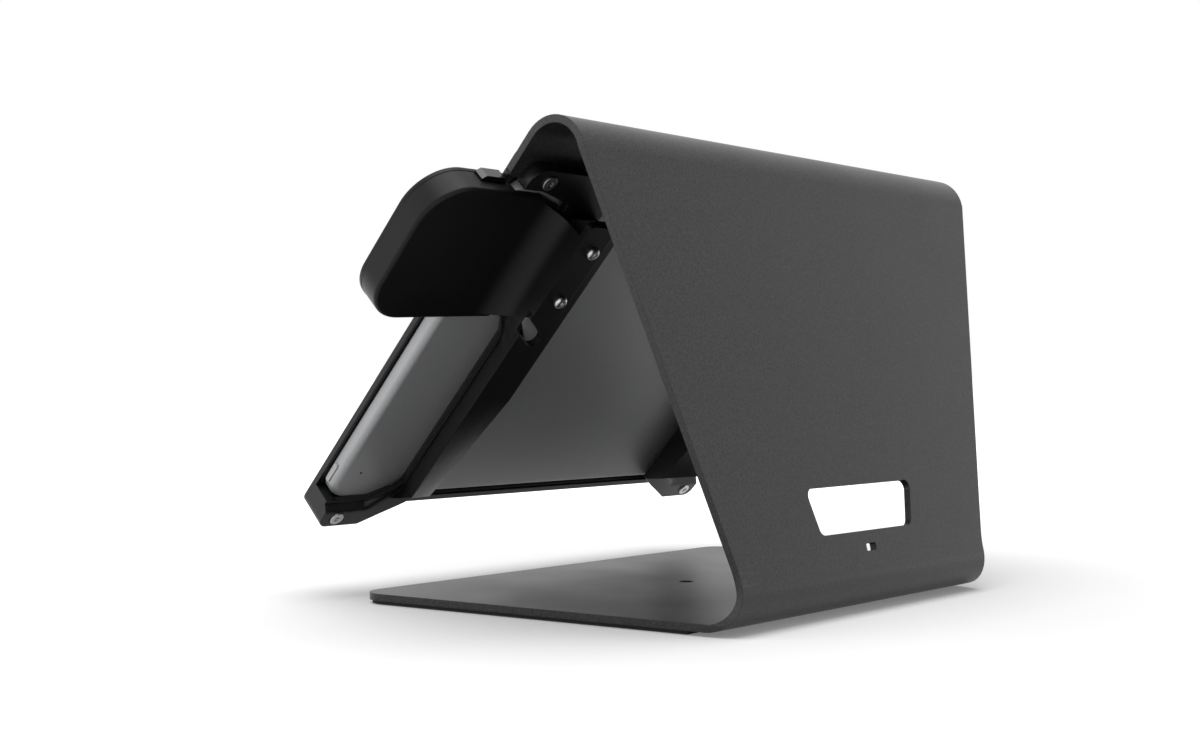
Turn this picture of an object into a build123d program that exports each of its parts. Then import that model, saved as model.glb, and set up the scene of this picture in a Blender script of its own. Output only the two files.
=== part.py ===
from build123d import *
from math import cos, radians, sin
import os

os.makedirs("parts", exist_ok=True)

# Bent stand plate: one sheet with a flat base, a leaning back panel and a short flap.
sheet_t = 3.0
base_depth = 164.5
base_front_half_w = 124.3
base_rear_half_w = 94.67
base_corner_r = 10.5
lower_bend_r = 10.4
panel_l = 164.4
panel_lean_deg = 12.76
panel_foot_half_w = 88.54
panel_top_half_w = 134.7
upper_bend_r = 13.6
flap_l = 18.5
flap_from_vertical_deg = 43.64
flap_corner_r = 2.0

# Soft pad under the base.
pad_t = 1.5
pad_inset = 1.2

# Openings in the sheet.
cutout_foot_gap = 15.6
cutout_h = 19.05
cutout_low_half_w = 33.3
cutout_high_half_w = 38.7
cutout_corner_r = 3.5
lock_slot_w = 7.0
lock_slot_h = 3.0
lock_slot_r = 0.6
lock_slot_up = 8.8
fixing_hole_r = 3.2
fixing_hole_x = 4.3
fixing_pad_gap = 0.6

# Tablet held in the frame.
tablet_l = 250.6
tablet_w = 174.1
tablet_t = 7.5
tablet_corner_r = 10.0
tablet_back_edge_r = 3.0
glass_t = 1.0
glass_inset = 0.7
display_side_border = 21.8
display_edge_border = 9.3
display_corner_r = 1.0
jack_r = 1.8
jack_depth = 14.5
jack_from_top = 13.6
port_w = 9.0
port_h = 2.8
port_depth = 7.0

# Front plate with its lugs and lips.
frame_below_crest = 22.5
plate_t = 3.0
plate_side_margin = 1.7
plate_edge_margin = 4.95
plate_edge_r = 0.8
lip_t = 3.0
lip_end_gap = 0.7
lip_flap_gap = 0.3
lug_reach = 6.0
lug_flat_l = 22.0
lug_slope_l = 21.0
lug_root_drop = 12.4
lug_corner_r = 4.5
home_hole_r = 7.0
camera_hole_r = 2.5

# Blocks that space the plates.
boss_t = 4.3
spacer_t = 2.8
boss_w = 20.0
boss_h = 7.6
boss_corner_r = 2.0
tablet_gap = 0.4
block_l = 29.8
block_side_h = 13.0

# Security screws.
screw_from_side = 8.0
screw_from_lug_end = 5.0
screw_r = 1.5
screw_gap = 0.08
thread_depth = 2.0
screw_head_r = 3.2
screw_head_h = 2.0
screw_head_edge_r = 0.4
head_sink = 1.2
head_gap = 0.2
drive_r = 1.55
drive_depth = 1.0
drive_pin_r = 0.45

# Rear clamps: ear, hollow arm and lug in one piece.
clamp_t = 3.0
arm_from_side = 27.4
arm_w = 19.6
arm_wall = 2.6
arm_back_t = 3.0
arm_h = 16.2
arm_low_h = 8.7
arm_head_drop = 21.0
arm_top_lean = 10.0
arm_straight_l = 87.0
arm_foot_gap = 3.0
arm_tail_l = 14.5
margin_w = 2.6
ear_overhang = 2.5
ear_corner_r = 7.5
ear_rise = 6.5
ear_side_h = 9.7
ear_step_1_l = 7.0
ear_step_2_l = 15.0
ear_step_3_l = 23.0
ear_step_2_h = 11.6
ear_step_3_h = 13.9
lug_inner_h = 18.5
lug_inner_r = 9.5
slot_from_side = 3.3
slot_below_head = 47.7
slot_l = 16.3
slot_w = 6.8
slot_turn_deg = -34.0

# Pads between the clamps and the tablet.
clamp_pad_w = 4.4
clamp_pad_side_gap = 0.4
clamp_pad_foot_in = 6.0
clamp_pad_edge = 3.2
clamp_pad_top_gap = 11.0
clamp_pad_foot_h = 4.0

# Card reader housing beside the tablet.
reader_w = 40.1
reader_side_gap = 0.4
reader_top_drop = 7.4
reader_l = 65.9
reader_top_r = 19.0
reader_low_r = 17.0
reader_back_t = 2.7
reader_wall = 2.6
reader_cover_t = 2.2
reader_flare_r = 11.0
reader_side_t = 3.0
reader_strip_gap = 0.3
reader_shoulder_l = 14.4
reader_shoulder_drop = 0.4
reader_neck_l = 7.4
reader_neck_drop = 2.6
reader_root_drop = 4.7
reader_root_low = 3.8
reader_web_slope = 14.5
reader_rim_r = 1.5
flange_w = 14.9
flange_t = 3.0
flange_rise = 1.9
flange_l = 47.0
flange_corner_r = 5.0
flange_screw_in = 5.3
flange_screw_drop = 12.5
flange_screw_pitch = 25.5
flange_head_r = 2.9
flange_head_h = 1.7
flange_dome_share = 0.85
flange_screw_below = 1.5
hex_key_r = 1.15
hex_key_depth = 0.9
reader_window_w = 21.0
reader_window_h = 22.0
reader_window_r = 2.0
reader_body_w = 27.0
reader_body_h = 30.0
reader_body_r = 3.0
reader_body_gap = 0.3
reader_body_t = 7.6
reader_tab_w = 12.6
reader_tab_rise = 2.2
reader_tab_t = 5.0
reader_tab_chamfer = 1.6
plug_r = 1.75
plug_l = 14.0

# Buttons of the tablet.
key_gap = 0.1
key_proud = 0.6
key_sink = 1.4
key_travel_room = 0.9
key_h = 2.2
power_key_l = 10.0
power_key_from_low = 12.5
volume_key_l = 9.0
volume_key_from_end = 33.3
volume_key_pitch = 12.0
key_from_back = 4.6
home_r = 6.2
home_t = 1.4
home_proud_gap = 0.1
home_room = 0.6

# One overrun serves every cut.
overrun = 5.0

# Side view of the sheet, seen along X.
rear_y = base_depth / 2
front_y = -base_depth / 2
sheet_top_z = pad_t + sheet_t
lean = radians(panel_lean_deg)
tilt_angle = radians(flap_from_vertical_deg)
foot_y = rear_y + lower_bend_r * cos(lean)
foot_z = sheet_top_z + lower_bend_r * (1 + sin(lean))
crest_y = foot_y - panel_l * sin(lean)
crest_z = foot_z + panel_l * cos(lean)
upper_centre_y = crest_y - upper_bend_r * cos(lean)
upper_centre_z = crest_z - upper_bend_r * sin(lean)
upper_outer_r = upper_bend_r + sheet_t
flap_turn_deg = 180 - flap_from_vertical_deg - panel_lean_deg

# Front plate and frame, sized from the tablet.
tablet_half_w = tablet_w / 2
tablet_half_l = tablet_l / 2
plate_half_w = tablet_half_l + plate_side_margin
plate_half_h = tablet_half_w + plate_edge_margin
lug_end = plate_half_h + lug_reach
lug_root = lug_end - lug_root_drop
frame_drop = lug_end + frame_below_crest
display_l = tablet_l - 2 * display_side_border
display_w = tablet_w - 2 * display_edge_border
home_x = tablet_half_l - display_side_border / 2

# Plane of the flap's front face, level with the crest, X across, Y down the slope, Z to the back.
slope_y = upper_centre_y - upper_outer_r * cos(tilt_angle) * (1 - sin(tilt_angle))
slope_z = upper_centre_z + upper_outer_r * (sin(tilt_angle) + cos(tilt_angle) ** 2)
slope_dir = Vector(0, -sin(tilt_angle), -cos(tilt_angle))
back_dir = Vector(0, cos(tilt_angle), -sin(tilt_angle))
mid_point = Vector(0, slope_y, slope_z) + slope_dir * frame_drop
mid = Plane(origin=mid_point, x_dir=(1, 0, 0), z_dir=back_dir)
side = Plane(origin=mid_point, x_dir=slope_dir, z_dir=(1, 0, 0))
panel_face = Plane(origin=(0, foot_y, foot_z), x_dir=(1, 0, 0), z_dir=(0, -cos(lean), -sin(lean)))
back_axis = Axis((0, 0, 0), back_dir)
slope_axis = Axis((0, 0, 0), slope_dir)


def across(down):
    """Plane square to the slope, X across and Y to the back, at a distance down from the middle."""
    return Plane(origin=mid_point + slope_dir * down, x_dir=(1, 0, 0), z_dir=slope_dir * -1)


# Levels square to the tablet, counted from the flap's front face towards the back.
plate_back_n = -boss_t
plate_front_n = plate_back_n - plate_t
glass_front_n = plate_back_n
tablet_front_n = glass_front_n + glass_t
tablet_back_n = plate_back_n + tablet_t
clamp_low_n = sheet_t + spacer_t
clamp_top_n = clamp_low_n + clamp_t
arm_top_n = clamp_low_n + arm_h
flange_low_n = arm_top_n
flange_top_n = flange_low_n + flange_t
reader_back_n = tablet_back_n + reader_back_t
cover_back_n = plate_front_n + reader_cover_t
plug_n = (glass_front_n + tablet_back_n) / 2
key_n = tablet_back_n - key_from_back

# Places down the slope, counted from the middle of the tablet.
screw_down = lug_end - screw_from_lug_end
ear_top = -(plate_half_h + ear_rise)
jack_down = -tablet_half_w + jack_from_top
power_down = tablet_half_w - power_key_from_low
arm_head = ear_top + arm_head_drop
arm_foot = lug_root - arm_foot_gap
arm_bend = arm_head + arm_straight_l
slot_up = -arm_head - slot_below_head
reader_top_up = plate_half_h - reader_top_drop
reader_low_up = reader_top_up - reader_l
flange_top_up = reader_top_up + flange_rise
flange_screw_up = flange_top_up - flange_screw_drop

# Places across, counted from the middle of the tablet.
lug_flat_x = plate_half_w - lug_flat_l
lug_root_x = lug_flat_x - lug_slope_l
block_in_x = plate_half_w - block_l
lip_half_l = block_in_x - lip_end_gap
boss_x = plate_half_w - boss_w / 2
screw_x = plate_half_w - screw_from_side
arm_out_x = plate_half_w - arm_from_side
arm_in_x = arm_out_x - arm_w
ear_out_x = plate_half_w + ear_overhang
ear_step_1_x = plate_half_w - ear_step_1_l
ear_step_2_x = plate_half_w - ear_step_2_l
ear_step_3_x = plate_half_w - ear_step_3_l
slot_x = arm_out_x - slot_from_side
clamp_pad_out_x = arm_out_x + margin_w - clamp_pad_side_gap
clamp_pad_in_x = clamp_pad_out_x - clamp_pad_w
clamp_pad_foot_x = plate_half_w - clamp_pad_foot_in
volume_key_x = tablet_half_l - volume_key_from_end
reader_in_x = plate_half_w + reader_side_gap
reader_out_x = reader_in_x + reader_w
reader_shoulder_x = arm_out_x + reader_shoulder_l
reader_neck_x = arm_out_x + reader_neck_l
web_in_x = arm_out_x + reader_strip_gap
web_out_x = web_in_x + reader_side_t
strip_clear_x = arm_out_x + margin_w + reader_strip_gap
flange_in_x = web_out_x - flange_w
flange_screw_x = flange_in_x + flange_screw_in

with BuildPart() as stand_sheet:
    # Lower bend and back panel, cut to the tapered outline seen from the front.
    with BuildSketch(Plane.YZ):
        with BuildLine():
            lower_bend = JernArc(
                start=(rear_y, sheet_top_z),
                tangent=(1, 0),
                radius=lower_bend_r,
                arc_size=90 + panel_lean_deg,
            )
            PolarLine(start=lower_bend @ 1, length=panel_l, direction=lower_bend % 1)
            offset(amount=sheet_t, side=Side.RIGHT)
        make_face()
    extrude(amount=panel_top_half_w, both=True)
    with BuildSketch(Plane.XZ):
        with BuildLine():
            Polyline(
                (0, 0),
                (base_rear_half_w, 0),
                (base_rear_half_w, sheet_top_z),
                (panel_foot_half_w, foot_z),
                (panel_top_half_w, crest_z),
                (panel_top_half_w, crest_z + upper_outer_r),
                (0, crest_z + upper_outer_r),
                close=True,
            )
        make_face()
        mirror(about=Plane.YZ)
    extrude(amount=base_depth, both=True, mode=Mode.INTERSECT)
    # Flat base with rounded front corners.
    with BuildSketch(Plane.XY.offset(pad_t)) as base_plan:
        with BuildLine():
            Polyline(
                (-base_rear_half_w, rear_y),
                (-base_front_half_w, front_y),
                (base_front_half_w, front_y),
                (base_rear_half_w, rear_y),
                close=True,
            )
        make_face()
        fillet(base_plan.vertices().group_by(Axis.Y)[0], radius=base_corner_r)
    extrude(amount=sheet_t)
    # Upper bend and the flap that carries the frame.
    with BuildSketch(Plane.YZ):
        with BuildLine():
            upper_bend = JernArc(
                start=(crest_y, crest_z),
                tangent=(-sin(lean), cos(lean)),
                radius=upper_bend_r,
                arc_size=flap_turn_deg,
            )
            PolarLine(start=upper_bend @ 1, length=flap_l, direction=upper_bend % 1)
            offset(amount=sheet_t, side=Side.RIGHT)
        make_face()
    extrude(amount=panel_top_half_w, both=True)
    flap_corners = stand_sheet.edges().filter_by(back_axis).group_by(slope_axis)[-1]
    fillet(flap_corners, radius=flap_corner_r)
    # Cable opening and lock slot in the back panel.
    with BuildSketch(panel_face) as cable_outline:
        with BuildLine():
            Polyline(
                (-cutout_low_half_w, cutout_foot_gap),
                (cutout_low_half_w, cutout_foot_gap),
                (cutout_high_half_w, cutout_foot_gap + cutout_h),
                (-cutout_high_half_w, cutout_foot_gap + cutout_h),
                close=True,
            )
        make_face()
        fillet(cable_outline.vertices(), radius=cutout_corner_r)
        with Locations((0, lock_slot_up)):
            RectangleRounded(lock_slot_w, lock_slot_h, lock_slot_r)
    extrude(amount=sheet_t + overrun, both=True, mode=Mode.SUBTRACT)
    # Fixing hole in the base and two screw holes in the flap.
    with BuildSketch(Plane.XY):
        with Locations((fixing_hole_x, 0)):
            Circle(fixing_hole_r)
    extrude(amount=sheet_top_z + overrun, mode=Mode.SUBTRACT)
    with BuildSketch(mid):
        with Locations((screw_x, -screw_down), (-screw_x, -screw_down)):
            Circle(screw_r + screw_gap)
    extrude(amount=sheet_t + overrun, both=True, mode=Mode.SUBTRACT)

with BuildPart() as base_pad:
    with BuildSketch() as pad_plan:
        with BuildLine():
            Polyline(
                (-base_rear_half_w, rear_y),
                (-base_front_half_w, front_y),
                (base_front_half_w, front_y),
                (base_rear_half_w, rear_y),
                close=True,
            )
        make_face()
        fillet(pad_plan.vertices().group_by(Axis.Y)[0], radius=base_corner_r)
        offset(amount=-pad_inset, mode=Mode.REPLACE)
        with Locations((fixing_hole_x, 0)):
            Circle(fixing_hole_r + fixing_pad_gap, mode=Mode.SUBTRACT)
    extrude(amount=pad_t)

with BuildPart() as front_plate:
    with BuildSketch(mid.offset(plate_back_n)) as plate_plan:
        with BuildLine():
            Polyline(
                (0, 0),
                (plate_half_w, 0),
                (plate_half_w, lug_end),
                (lug_flat_x, lug_end),
                (lug_root_x, lug_root),
                (lug_root_x, plate_half_h),
                (0, plate_half_h),
                close=True,
            )
        make_face()
        Rectangle(lug_flat_x, plate_half_h, align=(Align.MIN, Align.MIN))
        fillet(plate_plan.vertices().group_by(Axis.Y)[-1].sort_by(Axis.X)[-1], radius=lug_corner_r)
        mirror(about=Plane.XZ)
        mirror(about=Plane.YZ)
        RectangleRounded(display_l, display_w, display_corner_r, mode=Mode.SUBTRACT)
        with Locations((-home_x, 0)):
            Circle(home_hole_r, mode=Mode.SUBTRACT)
        with Locations((home_x, 0)):
            Circle(camera_hole_r, mode=Mode.SUBTRACT)
    extrude(amount=-plate_t)
    rim = front_plate.faces().filter_by(back_axis).sort_by(back_axis)[0].outer_wire().edges()
    fillet(rim, radius=plate_edge_r)
    # Lips along the two long edges keep the tablet from sliding down or up.
    with BuildSketch(mid.offset(plate_back_n)):
        with Locations((0, plate_half_h - lip_t / 2)):
            Rectangle(2 * lip_half_l, lip_t)
    extrude(amount=tablet_back_n - plate_back_n)
    with BuildSketch(mid.offset(plate_back_n)):
        with Locations((0, lip_t / 2 - plate_half_h)):
            Rectangle(2 * lip_half_l, lip_t)
    extrude(amount=boss_t - lip_flap_gap)
    # Blind threads for the four security screws.
    with BuildSketch(mid.offset(plate_back_n)):
        with GridLocations(2 * screw_x, 2 * screw_down, 2, 2):
            Circle(screw_r + screw_gap)
    extrude(amount=-thread_depth, mode=Mode.SUBTRACT)

with BuildPart() as lug_block_right:
    with BuildSketch(mid.offset(plate_back_n)) as block_plan:
        with BuildLine():
            Polyline(
                (block_in_x, lug_end - (lug_flat_x - block_in_x) * lug_root_drop / (lug_flat_x - lug_root_x)),
                (lug_flat_x, lug_end),
                (plate_half_w, lug_end),
                (plate_half_w, lug_end - block_side_h),
                (block_in_x, lug_end - block_side_h),
                close=True,
            )
        make_face()
        fillet(block_plan.vertices().group_by(Axis.Y)[-1].sort_by(Axis.X)[-1], radius=lug_corner_r)
        RectangleRounded(
            tablet_l + 2 * tablet_gap,
            tablet_w + 2 * tablet_gap,
            tablet_corner_r + tablet_gap,
            mode=Mode.SUBTRACT,
        )
        with Locations((screw_x, screw_down)):
            Circle(screw_r + screw_gap, mode=Mode.SUBTRACT)
    extrude(amount=clamp_low_n - plate_back_n)

with BuildPart() as lug_block_left:
    mirror(lug_block_right.part, about=Plane.YZ)

with BuildPart() as front_boss_right:
    with BuildSketch(mid.offset(plate_back_n)):
        with Locations((boss_x, -screw_down)):
            RectangleRounded(boss_w, boss_h, boss_corner_r)
        with Locations((screw_x, -screw_down)):
            Circle(screw_r + screw_gap, mode=Mode.SUBTRACT)
    extrude(amount=boss_t)

with BuildPart() as front_boss_left:
    mirror(front_boss_right.part, about=Plane.YZ)

with BuildPart() as ear_spacer_right:
    with BuildSketch(mid.offset(sheet_t)):
        with Locations((boss_x, -screw_down)):
            RectangleRounded(boss_w, boss_h, boss_corner_r)
        with Locations((screw_x, -screw_down)):
            Circle(screw_r + screw_gap, mode=Mode.SUBTRACT)
    extrude(amount=spacer_t)

with BuildPart() as ear_spacer_left:
    mirror(ear_spacer_right.part, about=Plane.YZ)

# Rear clamp: flat ear and lug, joined by a channel whose back slopes down towards the lug.
arm_low_top_n = clamp_low_n + arm_low_h
arm_tail = arm_foot - arm_tail_l
channel_foot = arm_tail - arm_wall
channel_fall = (arm_h - arm_low_h) * (channel_foot - arm_bend) / (arm_foot - arm_bend)
channel_head = arm_head + arm_wall - arm_top_lean * (arm_h - clamp_t - arm_back_t) / (arm_h - clamp_t)
wall_share = arm_wall / (arm_out_x - arm_in_x)
with BuildPart() as clamp_form:
    with BuildSketch(mid.offset(clamp_low_n)) as clamp_plan:
        with BuildLine():
            Polyline(
                (arm_in_x, ear_top),
                (ear_out_x, ear_top),
                (ear_out_x, ear_top + ear_side_h),
                (ear_step_1_x, ear_top + ear_side_h),
                (ear_step_2_x, ear_top + ear_step_2_h),
                (ear_step_3_x, ear_top + ear_step_3_h),
                (arm_out_x + margin_w, ear_top + ear_step_3_h),
                (arm_out_x + margin_w, lug_end - lug_inner_h),
                (plate_half_w, lug_end - lug_inner_h),
                (plate_half_w, lug_end),
                (lug_flat_x, lug_end),
                (lug_root_x, lug_root),
                (arm_in_x, arm_foot),
                close=True,
            )
        make_face()
        outer_corner = clamp_plan.vertices().group_by(Axis.X)[-1].sort_by(Axis.Y)[0]
        fillet(outer_corner, radius=ear_corner_r)
        fillet(clamp_plan.vertices().group_by(Axis.Y)[-1].sort_by(Axis.X)[-1], radius=lug_corner_r)
        inner_corner = clamp_plan.vertices().sort_by_distance(
            (arm_out_x + margin_w, lug_end - lug_inner_h)
        )[0]
        fillet(inner_corner, radius=lug_inner_r)
    extrude(amount=clamp_t)
    # Straight run of the arm, whose head leans towards the flap.
    with BuildSketch(side.offset(arm_in_x)):
        with BuildLine():
            Polyline(
                (arm_head, clamp_low_n),
                (arm_head, clamp_top_n),
                (arm_head - arm_top_lean, arm_top_n),
                (arm_bend, arm_top_n),
                (arm_bend, clamp_low_n),
                close=True,
            )
        make_face()
    extrude(amount=arm_out_x - arm_in_x)
    # Lower run, lofted so that the inner edge of the back falls away.
    with BuildSketch(across(arm_bend)):
        with BuildLine():
            Polyline(
                (arm_in_x, clamp_low_n),
                (arm_out_x, clamp_low_n),
                (arm_out_x, arm_top_n),
                (arm_in_x, arm_top_n),
                close=True,
            )
        make_face()
    with BuildSketch(across(arm_foot)):
        with BuildLine():
            Polyline(
                (arm_in_x, clamp_low_n),
                (arm_out_x, clamp_low_n),
                (arm_out_x, arm_top_n),
                (arm_in_x, arm_low_top_n),
                close=True,
            )
        make_face()
    loft(ruled=True)
    # Channel inside the arm, open towards the tablet.
    with BuildSketch(side.offset(arm_in_x + arm_wall)):
        with BuildLine():
            Polyline(
                (arm_head + arm_wall, clamp_low_n - overrun),
                (arm_head + arm_wall, clamp_top_n),
                (channel_head, arm_top_n - arm_back_t),
                (arm_bend, arm_top_n - arm_back_t),
                (arm_bend, clamp_low_n - overrun),
                close=True,
            )
        make_face()
    extrude(amount=arm_out_x - arm_in_x - 2 * arm_wall, mode=Mode.SUBTRACT)
    with BuildSketch(across(arm_bend)):
        with BuildLine():
            Polyline(
                (arm_in_x + arm_wall, clamp_low_n - overrun),
                (arm_out_x - arm_wall, clamp_low_n - overrun),
                (arm_out_x - arm_wall, arm_top_n - arm_back_t),
                (arm_in_x + arm_wall, arm_top_n - arm_back_t),
                close=True,
            )
        make_face()
    with BuildSketch(across(channel_foot)):
        with BuildLine():
            Polyline(
                (arm_in_x + arm_wall, clamp_low_n - overrun),
                (arm_out_x - arm_wall, clamp_low_n - overrun),
                (arm_out_x - arm_wall, arm_top_n - arm_back_t - channel_fall * wall_share),
                (arm_in_x + arm_wall, arm_top_n - arm_back_t - channel_fall * (1 - wall_share)),
                close=True,
            )
        make_face()
    loft(ruled=True, mode=Mode.SUBTRACT)
    # Tail of the arm, sloping down to the lug.
    with BuildSketch(side.offset(arm_in_x - overrun)):
        with BuildLine():
            Polyline(
                (arm_tail, arm_top_n),
                (arm_foot, clamp_top_n),
                (arm_foot + overrun, clamp_top_n),
                (arm_foot + overrun, arm_top_n + overrun),
                (arm_tail, arm_top_n + overrun),
                close=True,
            )
        make_face()
    extrude(amount=arm_out_x - arm_in_x + 2 * overrun, mode=Mode.SUBTRACT)
    # Slanted cable slot through the back of the arm, open at its outer edge.
    with BuildSketch(mid.offset(arm_top_n - arm_back_t)):
        with Locations((slot_x, -slot_up)):
            SlotCenterToCenter(slot_l, slot_w, rotation=slot_turn_deg)
    extrude(amount=arm_h, mode=Mode.SUBTRACT)
    # Sunk seats for the two security screws.
    with BuildSketch(mid.offset(clamp_low_n)):
        with Locations((screw_x, screw_down), (screw_x, -screw_down)):
            Circle(screw_r + screw_gap)
    extrude(amount=clamp_t, mode=Mode.SUBTRACT)
    with BuildSketch(mid.offset(clamp_top_n - head_sink)):
        with Locations((screw_x, screw_down), (screw_x, -screw_down)):
            Circle(screw_head_r + head_gap)
    extrude(amount=head_sink, mode=Mode.SUBTRACT)

with BuildPart() as rear_clamp_left:
    mirror(clamp_form.part, about=Plane.YZ)

with BuildPart() as rear_clamp_right:
    add(clamp_form.part)
    with BuildSketch(mid.offset(arm_top_n)):
        with Locations((flange_screw_x, -flange_screw_up), (flange_screw_x, flange_screw_pitch - flange_screw_up)):
            Circle(screw_r + screw_gap)
    extrude(amount=-arm_back_t, mode=Mode.SUBTRACT)

with BuildPart() as clamp_pad_right:
    with BuildSketch(mid.offset(tablet_back_n)) as clamp_pad_plan:
        with BuildLine():
            Polyline(
                (clamp_pad_in_x, clamp_pad_top_gap - tablet_half_w),
                (clamp_pad_out_x, clamp_pad_top_gap - tablet_half_w),
                (clamp_pad_out_x, tablet_half_w - clamp_pad_edge - clamp_pad_foot_h),
                (clamp_pad_foot_x, tablet_half_w - clamp_pad_edge - clamp_pad_foot_h),
                (clamp_pad_foot_x, tablet_half_w - clamp_pad_edge),
                (clamp_pad_in_x, tablet_half_w - clamp_pad_edge),
                close=True,
            )
        make_face()
    extrude(amount=clamp_low_n - tablet_back_n)

with BuildPart() as clamp_pad_left:
    mirror(clamp_pad_right.part, about=Plane.YZ)


def security_screw(x, down):
    """Low head with a pinned drive, shank down to the bottom of its thread."""
    with BuildPart() as screw:
        with BuildSketch(mid.offset(clamp_top_n - head_sink)):
            with Locations((x, down)):
                Circle(screw_head_r)
        extrude(amount=screw_head_h)
        fillet(screw.edges().group_by(back_axis)[-1], radius=screw_head_edge_r)
        with BuildSketch(mid.offset(clamp_top_n - head_sink + screw_head_h)):
            with Locations((x, down)):
                Circle(drive_r)
                Circle(drive_pin_r, mode=Mode.SUBTRACT)
        extrude(amount=-drive_depth, mode=Mode.SUBTRACT)
        with BuildSketch(mid.offset(clamp_top_n - head_sink)):
            with Locations((x, down)):
                Circle(screw_r)
        extrude(amount=plate_back_n - thread_depth - clamp_top_n + head_sink)
    return screw


screw_upper_left = security_screw(-screw_x, -screw_down)
screw_upper_right = security_screw(screw_x, -screw_down)
screw_lower_left = security_screw(-screw_x, screw_down)
screw_lower_right = security_screw(screw_x, screw_down)


def reader_outline(inner_x):
    """Outline of the pod seen from behind, from an inner line out to its rounded side."""
    Polyline(
        (inner_x, reader_root_drop - reader_top_up),
        (reader_neck_x, reader_neck_drop - reader_top_up),
        (reader_shoulder_x, reader_shoulder_drop - reader_top_up),
        (reader_out_x, -reader_top_up),
        (reader_out_x, -reader_low_up),
        (inner_x, -reader_low_up - reader_root_low),
        close=True,
    )


# Reader housing, a pod beside the tablet. First its flared web, kept inside the pod's rounded rim.
with BuildPart() as reader_web:
    with BuildSketch(across(0)):
        with BuildLine():
            Polyline(
                (web_out_x, reader_back_n + reader_flare_r),
                (web_out_x, flange_low_n),
                (web_in_x, flange_low_n),
                (web_in_x, clamp_top_n + reader_strip_gap),
                (strip_clear_x, clamp_top_n + reader_strip_gap),
                (strip_clear_x, tablet_back_n),
                (web_out_x + reader_flare_r, tablet_back_n),
                (web_out_x + reader_flare_r, reader_back_n),
            )
            RadiusArc(
                (web_out_x + reader_flare_r, reader_back_n),
                (web_out_x, reader_back_n + reader_flare_r),
                reader_flare_r,
            )
        make_face()
    extrude(amount=reader_top_up + overrun)
    with BuildSketch(mid.offset(cover_back_n - overrun)):
        with BuildLine():
            reader_outline(web_in_x - overrun)
        make_face()
        offset(amount=-reader_rim_r, kind=Kind.INTERSECTION, mode=Mode.REPLACE)
    extrude(amount=flange_top_n - cover_back_n + 2 * overrun, mode=Mode.INTERSECT)
    # The web slopes away from the flange to the lower edge of the pod.
    with BuildSketch(side.offset(web_in_x - overrun)):
        with BuildLine():
            Polyline(
                (-reader_low_up - reader_root_low - reader_rim_r, reader_back_n),
                (-reader_low_up - reader_root_low - reader_web_slope, flange_low_n),
                (-reader_low_up - reader_root_low - reader_web_slope, flange_low_n + overrun),
                (-reader_low_up + overrun, flange_low_n + overrun),
                (-reader_low_up + overrun, reader_back_n),
                close=True,
            )
        make_face()
    extrude(amount=reader_side_t + reader_flare_r + overrun, mode=Mode.SUBTRACT)

with BuildPart() as reader_shell:
    with BuildSketch(across(0)):
        with BuildLine():
            Polyline(
                (strip_clear_x, reader_back_n),
                (strip_clear_x, tablet_back_n),
                (reader_in_x, tablet_back_n),
                (reader_in_x, cover_back_n),
                (reader_out_x, cover_back_n),
                (reader_out_x, reader_back_n),
                close=True,
            )
        make_face()
    extrude(amount=reader_top_up + overrun)
    with BuildSketch(mid.offset(cover_back_n - overrun)) as reader_plan:
        with BuildLine():
            reader_outline(web_in_x)
        make_face()
        outer_corners = reader_plan.vertices().group_by(Axis.X)[-1].sort_by(Axis.Y)
        fillet(outer_corners[0], radius=reader_top_r)
        outer_corners = reader_plan.vertices().sort_by_distance((reader_out_x, -reader_low_up))
        fillet(outer_corners[0], radius=reader_low_r)
    extrude(amount=flange_top_n - cover_back_n + 2 * overrun, mode=Mode.INTERSECT)
    pod_back = reader_shell.faces().filter_by(back_axis).sort_by(back_axis)[-1]
    fillet(pod_back.edges().sort_by(Axis.X)[1:], radius=reader_rim_r)
    add(reader_web.part)
    # Flange screwed on the arm.
    with BuildSketch(mid.offset(flange_low_n)) as flange_plan:
        with Locations((flange_in_x, -flange_top_up)):
            Rectangle(web_out_x - flange_in_x, flange_l, align=(Align.MIN, Align.MIN))
        fillet(flange_plan.vertices(), radius=flange_corner_r / 2)
        with Locations((flange_screw_x, -flange_screw_up), (flange_screw_x, flange_screw_pitch - flange_screw_up)):
            Circle(screw_r + screw_gap, mode=Mode.SUBTRACT)
    extrude(amount=flange_t)
    # Pocket for the reader, open to the front.
    with BuildSketch(mid.offset(cover_back_n - overrun)) as pocket_plan:
        with BuildLine():
            Polyline(
                (reader_in_x + reader_wall, reader_wall - reader_top_up),
                (reader_out_x - reader_wall, reader_wall - reader_top_up),
                (reader_out_x - reader_wall, -reader_low_up - reader_wall),
                (reader_in_x + reader_wall, -reader_low_up - reader_wall - reader_root_low / 2),
                close=True,
            )
        make_face()
        outer_corners = pocket_plan.vertices().group_by(Axis.X)[-1].sort_by(Axis.Y)
        fillet(outer_corners[0], radius=reader_top_r - reader_wall)
        outer_corners = pocket_plan.vertices().sort_by_distance((reader_out_x, -reader_low_up))
        fillet(outer_corners[0], radius=reader_low_r - reader_wall)
    extrude(amount=tablet_back_n - cover_back_n + overrun, mode=Mode.SUBTRACT)
    # Passage for the plug and notch for the reader's tab.
    with BuildSketch(side.offset(reader_in_x - overrun)):
        with Locations((jack_down, plug_n)):
            Circle(plug_r + reader_body_gap)
    extrude(amount=reader_wall + 2 * overrun, mode=Mode.SUBTRACT)
    with BuildSketch(mid.offset(cover_back_n - overrun)):
        with Locations((reader_in_x + reader_wall, -reader_top_up - overrun)):
            Rectangle(
                reader_tab_w + 2 * reader_body_gap,
                reader_wall + 2 * overrun,
                align=(Align.MIN, Align.MIN),
            )
    extrude(amount=reader_tab_t + reader_body_gap + overrun, mode=Mode.SUBTRACT)

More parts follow.
